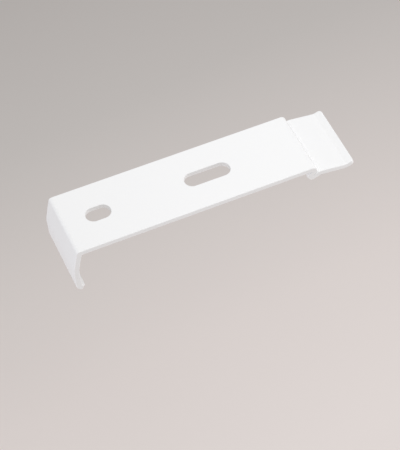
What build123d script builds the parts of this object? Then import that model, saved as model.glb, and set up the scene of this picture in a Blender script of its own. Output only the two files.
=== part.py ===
from build123d import *
from math import radians, tan
import os

# Curtain track ceiling clip, bent from one strip of white coated steel sheet.
# Millimetres. The origin is on the face that lies on the ceiling, midway between the middles
# of the two screw slots: +Z points up into the ceiling, +X runs from the hooked leg to the
# release tab, and Y runs across the strip.

# Strip
strip_width = 20.0
sheet_thickness = 1.6
edge_radius = 0.25

# Plate that lies on the ceiling, from the corner of the fold to the outside of the end bend
plate_length = 69.85
slot_centre_place = 25.9
fold_outside_radius = 1.0
fold_inside_radius = 0.3
end_inside_radius = 0.05

# Leg that hooks one side of the track: it leans out, turns in, and ends in a curled toe
leg_lean_out = 9.4
leg_upper_run = 5.7
leg_bend_radius = 13.5
leg_turn_in = 3.8
leg_lower_run = 4.5
toe_inside_radius = 1.4
toe_turn_in = 61.0
toe_run = 0.35
toe_corner_radius = 1.0

# Nose that snaps behind the other side of the track: the strip folded back under itself
nose_lean_in = 59.0
nose_run = 0.35
nose_gap = 0.1

# Release tab: a short ramp up from the nose, the sloping tab and its upturned lip
tab_ramp_rise = 27.0
tab_ramp_run = 1.5
tab_inside_radius = 0.3
tab_slope = 8.5
tab_run = 7.2
lip_inside_radius = 1.0
lip_rise = 20.0
lip_run = 2.05
lip_corner_radius = 1.0

# Screw slots along the middle of the plate
slot_width = 4.5
slot_rim_radius = 0.2
slot_spacing = 31.6
short_slot_length = 7.05
long_slot_length = 13.25


def carry_on(path, length):
    """Carries the mid-line straight on."""
    last = path[-1]
    return path + [PolarLine(last @ 1, length, direction=last % 1)]


def bend(path, inside_radius, turn):
    """Carries the mid-line round a bend, which turns left where turn is above 0."""
    last = path[-1]
    return path + [JernArc(last @ 1, last % 1, inside_radius + sheet_thickness / 2, turn)]


def fold_place():
    """Distance from the origin to the fold, measured along the plate's mid-line."""
    half_turn = radians(90 - leg_lean_out) / 2
    return slot_centre_place - sheet_thickness / 2 * tan(half_turn)


def leg_line():
    """Mid-line from the origin to the tip of the leg's toe."""
    fold = (-fold_place(), -sheet_thickness / 2)
    path = [Line((0, -sheet_thickness / 2), fold)]
    path = path + [PolarLine(fold, leg_upper_run, 270 - leg_lean_out)]
    path = bend(path, leg_bend_radius, leg_lean_out + leg_turn_in)
    path = carry_on(path, leg_lower_run)
    path = bend(path, toe_inside_radius, toe_turn_in)
    return carry_on(path, toe_run)


def tab_line():
    """Mid-line from the origin round the nose to the tip of the lip."""
    plate_run = plate_length - slot_centre_place - end_inside_radius - sheet_thickness
    path = [Line((0, -sheet_thickness / 2), (plate_run, -sheet_thickness / 2))]
    path = bend(path, end_inside_radius, -90 - nose_lean_in)
    path = carry_on(path, nose_run)
    path = bend(path, nose_gap / 2, 90 + nose_lean_in + tab_ramp_rise)
    path = carry_on(path, tab_ramp_run)
    path = bend(path, tab_inside_radius, -tab_ramp_rise - tab_slope)
    path = carry_on(path, tab_run)
    path = bend(path, lip_inside_radius, tab_slope + lip_rise)
    return carry_on(path, lip_run)


def round_fold(profile):
    """Rounds the fold between plate and leg, outside and inside."""
    fold = (-fold_place(), -sheet_thickness / 2)
    inside, outside = profile.vertices().sort_by_distance(fold)[:2].sort_by(Axis.Y)
    profile = fillet(outside, fold_outside_radius)
    inside = profile.vertices().sort_by_distance(inside)[0]
    return fillet(inside, fold_inside_radius)


def round_corners(strip, line, radius):
    """Rounds the strip's two corners at the end of this mid-line."""
    tip = line[-1] @ 1
    corners = [
        strip.edges().sort_by_distance((tip.X, side * strip_width / 2, tip.Y))[0]
        for side in (-1, 1)
    ]
    return fillet(corners, radius)


def bent_strip():
    """The strip at its full width, with round corners and the soft edges of its coating."""
    leg = leg_line()
    tab = tab_line()
    profile = round_fold(trace(leg, sheet_thickness) + trace(tab, sheet_thickness))
    strip = extrude(Plane.XZ * profile, strip_width / 2, both=True)
    strip = round_corners(strip, leg, toe_corner_radius)
    strip = round_corners(strip, tab, lip_corner_radius)
    return fillet(strip.faces().filter_by(Axis.Y).edges(), edge_radius)


def screw_slot(length, middle):
    """Tool for one round-ended slot through the plate, with its middle at this X."""
    outline = Pos(middle, 0) * SlotOverall(length, slot_width)
    return extrude(outline, sheet_thickness, both=True)


def slot_rims(strip):
    """The edges round the slots, on both faces of the plate."""
    faces = strip.faces().filter_by(Axis.Z)
    return [edge for face in faces for wire in face.inner_wires() for edge in wire.edges()]


clip = bent_strip()
clip -= screw_slot(short_slot_length, -slot_spacing / 2)
clip -= screw_slot(long_slot_length, slot_spacing / 2)
clip = fillet(slot_rims(clip), slot_rim_radius)

os.makedirs("parts", exist_ok=True)
export_step(clip, "parts/ceiling_clip.step")
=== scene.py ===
import math

import bpy
from mathutils import Matrix, Vector

# Curtain track ceiling clip: white powder-coated steel strip in soft, even studio light.
# Lengths and places are in metres, angles in degrees and the lamps' powers in watts. The lens and its
# sensor are in millimetres. Colours are linear.

MM = 0.001

# Camera. It looks down on the plate from the side of the hooked leg. FRAMING_SHIFT moves the view down,
# in pixels of the picture, so that the clip lies above its middle.
CAMERA_AZIMUTH = -24.45
CAMERA_ELEVATION = 51.99
CAMERA_DISTANCE = 474.9 * MM
CAMERA_TARGET = Vector((9.15, -10.0, 0.0)) * MM
CAMERA_RISE = 2.451 * MM
CAMERA_NEAR = 10.0 * MM
CAMERA_FAR = 50.0
LENS = 144.0
SENSOR = 36.0
PICTURE_HEIGHT = 450
FRAMING_SHIFT = -25.2

# Floor, held well below the clip so that its shadow stays faint. Its colour holds painted shade: a
# painted falloff of light that runs from FLOOR_NEAR to FLOOR_FAR along the direction FLOOR_TURN, which
# is counted from +X.
FLOOR_DEPTH = 150.0 * MM
FLOOR_HALF = 4.0
FLOOR_TURN = 96.0
FLOOR_NEAR = -20.0 * MM
FLOOR_FAR = 240.0 * MM
FLOOR_PAINTED_FALLOFF = (
    (0.00, (0.880, 0.811, 0.785)),
    (0.23, (0.828, 0.760, 0.734)),
    (0.65, (0.635, 0.598, 0.577)),
    (1.00, (0.563, 0.528, 0.509)),
)
FLOOR_ROUGHNESS = 0.9

# Light
SKY_STRENGTH = 0.63
SKY_SEEN = (0.44, 0.414, 0.40)
COOL = (0.88, 0.91, 1.0)
WHITE = (1.0, 1.0, 1.0)
OPEN_CONE = 180.0
NARROW_CONE = 60.0

# Coating. A larger scale is a finer noise: the ripple is much finer than the change in gloss.
COAT_COLOUR = (0.90, 0.90, 0.905)
COAT_ROUGHNESS = 0.42
GLOSSIER = 0.04
DULLER = 0.06
GLOSS_SCALE = 260.0
GLOSS_DETAIL = 3.0
RIPPLE_SCALE = 1500.0
RIPPLE_DETAIL = 2.0
RIPPLE_HEIGHT = 0.05 * MM
RIPPLE_STRENGTH = 0.12

# The part of a noise's range that most of its values lie in
NOISE_LOW = 0.3
NOISE_HIGH = 0.7


def link(tree, source, target):
    """Joins an output socket to an input socket."""
    tree.links.new(source, target)


def new_material(name):
    """A new material, with its node tree and shader."""
    material = bpy.data.materials.new(name)
    material.use_nodes = True
    return material, material.node_tree, material.node_tree.nodes["Principled BSDF"]


def noise(tree, place, scale, detail):
    """A noise texture in the object's own space."""
    node = tree.nodes.new("ShaderNodeTexNoise")
    node.inputs["Scale"].default_value = scale
    node.inputs["Detail"].default_value = detail
    link(tree, place.outputs["Object"], node.inputs["Vector"])
    return node


def value_range(tree, source, low, high):
    """Spreads a noise value over a narrow range."""
    node = tree.nodes.new("ShaderNodeMapRange")
    node.inputs["From Min"].default_value = NOISE_LOW
    node.inputs["From Max"].default_value = NOISE_HIGH
    node.inputs["To Min"].default_value = low
    node.inputs["To Max"].default_value = high
    link(tree, source, node.inputs["Value"])
    return node


def powder_coat():
    """White satin powder coating: the fine ripple of the baked film and a slight change in its gloss."""
    material, tree, shader = new_material("powder_coat_white")
    shader.inputs["Base Color"].default_value = (*COAT_COLOUR, 1.0)
    place = tree.nodes.new("ShaderNodeTexCoord")
    gloss = noise(tree, place, GLOSS_SCALE, GLOSS_DETAIL)
    smoothest = COAT_ROUGHNESS - GLOSSIER
    roughest = COAT_ROUGHNESS + DULLER
    rough = value_range(tree, gloss.outputs["Fac"], smoothest, roughest)
    link(tree, rough.outputs["Result"], shader.inputs["Roughness"])
    ripple = noise(tree, place, RIPPLE_SCALE, RIPPLE_DETAIL)
    bump = tree.nodes.new("ShaderNodeBump")
    bump.inputs["Strength"].default_value = RIPPLE_STRENGTH
    bump.inputs["Distance"].default_value = RIPPLE_HEIGHT
    link(tree, ripple.outputs["Fac"], bump.inputs["Height"])
    link(tree, bump.outputs["Normal"], shader.inputs["Normal"])
    return material


def floor_painted_falloff(tree):
    """The floor's colour, which falls off away from the camera: painted shade standing in for light
    falling off.
    """
    place = tree.nodes.new("ShaderNodeTexCoord")
    turn = tree.nodes.new("ShaderNodeVectorRotate")
    turn.rotation_type = "Z_AXIS"
    turn.inputs["Angle"].default_value = -math.radians(FLOOR_TURN)
    link(tree, place.outputs["Object"], turn.inputs["Vector"])
    parts = tree.nodes.new("ShaderNodeSeparateXYZ")
    link(tree, turn.outputs["Vector"], parts.inputs["Vector"])
    along = tree.nodes.new("ShaderNodeMapRange")
    along.inputs["From Min"].default_value = FLOOR_NEAR
    along.inputs["From Max"].default_value = FLOOR_FAR
    link(tree, parts.outputs["X"], along.inputs["Value"])
    ramp = tree.nodes.new("ShaderNodeValToRGB")
    ramp.color_ramp.interpolation = "LINEAR"
    elements = ramp.color_ramp.elements
    for position, tone in FLOOR_PAINTED_FALLOFF[1:-1]:
        elements.new(position)
    for element, (position, tone) in zip(elements, FLOOR_PAINTED_FALLOFF):
        element.position = position
        element.color = (*tone, 1.0)
    link(tree, along.outputs["Result"], ramp.inputs["Fac"])
    return ramp.outputs["Color"]


def floor_material():
    """Matt studio paper."""
    material, tree, shader = new_material("studio_paper")
    shader.inputs["Roughness"].default_value = FLOOR_ROUGHNESS
    shader.inputs["Specular IOR Level"].default_value = 0.0
    # The base colour carries the floor's painted shade, darker away from the camera.
    link(tree, floor_painted_falloff(tree), shader.inputs["Base Color"])
    return material


def make_floor():
    """The studio floor under the clip."""
    mesh = bpy.data.meshes.new("floor")
    h = FLOOR_HALF
    square = [(-h, -h, 0), (h, -h, 0), (h, h, 0), (-h, h, 0)]
    mesh.from_pydata(square, [], [(0, 1, 2, 3)])
    floor = bpy.data.objects.new("floor", mesh)
    floor.location.z = -FLOOR_DEPTH
    floor.data.materials.append(floor_material())
    bpy.context.scene.collection.objects.link(floor)


def seen_ray(tree):
    """1 on a ray that shows the background: from the camera, in a gloss or through glass."""
    rays = tree.nodes.new("ShaderNodeLightPath")
    seen = rays.outputs["Is Camera Ray"]
    for name in ("Is Glossy Ray", "Is Transmission Ray"):
        either = tree.nodes.new("ShaderNodeMath")
        either.operation = "MAXIMUM"
        link(tree, seen, either.inputs[0])
        link(tree, rays.outputs[name], either.inputs[1])
        seen = either.outputs["Value"]
    return seen


def make_sky():
    """Even light from all round. Where the sky is seen, it has about the floor's far tone."""
    world = bpy.data.worlds.new("studio")
    bpy.context.scene.world = world
    world.use_nodes = True
    tree = world.node_tree
    light = tree.nodes["Background"]
    light.inputs["Color"].default_value = (*WHITE, 1.0)
    light.inputs["Strength"].default_value = SKY_STRENGTH
    seen = tree.nodes.new("ShaderNodeBackground")
    seen.inputs["Color"].default_value = (*SKY_SEEN, 1.0)
    mix = tree.nodes.new("ShaderNodeMixShader")
    link(tree, seen_ray(tree), mix.inputs[0])
    link(tree, light.outputs["Background"], mix.inputs[1])
    link(tree, seen.outputs["Background"], mix.inputs[2])
    link(tree, mix.outputs["Shader"], tree.nodes["World Output"].inputs["Surface"])


def add_light(name, place, aim, size, power, cone=OPEN_CONE, colour=WHITE):
    """A square soft box at one point, turned to another, with its light kept to a cone of this angle."""
    lamp = bpy.data.lights.new(name, "AREA")
    lamp.size = size
    lamp.energy = power
    lamp.spread = math.radians(cone)
    lamp.color = colour
    box = bpy.data.objects.new(name, lamp)
    box.location = place
    box.rotation_euler = (Vector(aim) - Vector(place)).to_track_quat("-Z", "Y").to_euler()
    bpy.context.scene.collection.objects.link(box)


def make_lights():
    """Soft boxes: two overhead, and weak ones low on the left and on the right."""
    add_light(
        "overhead",
        place=(0.06, 0.00, 0.28),
        aim=CAMERA_TARGET,
        size=0.30,
        power=0.356,
    )
    add_light(
        "overhead_near",
        place=(0.09, 0.00, 0.20),
        aim=(0.09, 0.00, 0.00),
        size=0.16,
        power=0.050,
    )
    add_light(
        "left_low",
        place=(-0.36, -0.08, -0.07),
        aim=CAMERA_TARGET,
        size=0.14,
        power=0.050,
        cone=NARROW_CONE,
        colour=COOL,
    )
    add_light(
        "right_low",
        place=(0.30, -0.10, -0.055),
        aim=(-0.02, 0.00, -0.012),
        size=0.10,
        power=0.028,
        cone=NARROW_CONE,
    )


def make_camera():
    """The camera at the photograph's angle, level with the horizon."""
    azimuth = math.radians(CAMERA_AZIMUTH)
    elevation = math.radians(CAMERA_ELEVATION)
    level = math.cos(elevation)
    back = Vector((math.sin(azimuth) * level, -math.cos(azimuth) * level, math.sin(elevation)))
    right = Vector((math.cos(azimuth), math.sin(azimuth), 0.0))
    up = back.cross(right)
    place = CAMERA_TARGET + back * CAMERA_DISTANCE + up * CAMERA_RISE
    lens = bpy.data.cameras.new("camera")
    lens.sensor_fit = "VERTICAL"
    lens.sensor_height = SENSOR
    lens.sensor_width = SENSOR
    lens.lens = LENS
    lens.shift_y = FRAMING_SHIFT / PICTURE_HEIGHT
    lens.clip_start = CAMERA_NEAR
    lens.clip_end = CAMERA_FAR
    camera = bpy.data.objects.new("camera", lens)
    turn = Matrix((right, up, back)).transposed()
    camera.matrix_world = Matrix.Translation(place) @ turn.to_4x4()
    bpy.context.scene.collection.objects.link(camera)
    bpy.context.scene.camera = camera


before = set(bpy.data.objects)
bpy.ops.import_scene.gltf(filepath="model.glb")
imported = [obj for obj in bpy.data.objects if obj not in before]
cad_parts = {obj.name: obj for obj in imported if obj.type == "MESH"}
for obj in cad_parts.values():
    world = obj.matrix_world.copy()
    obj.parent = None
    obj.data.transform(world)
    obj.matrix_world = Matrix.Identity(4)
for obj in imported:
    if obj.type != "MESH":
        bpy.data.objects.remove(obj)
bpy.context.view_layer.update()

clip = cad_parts["ceiling_clip"]
clip.data.materials.clear()
clip.data.materials.append(powder_coat())

make_floor()
make_sky()
make_lights()
make_camera()
bpy.context.scene.view_settings.view_transform = "Standard"
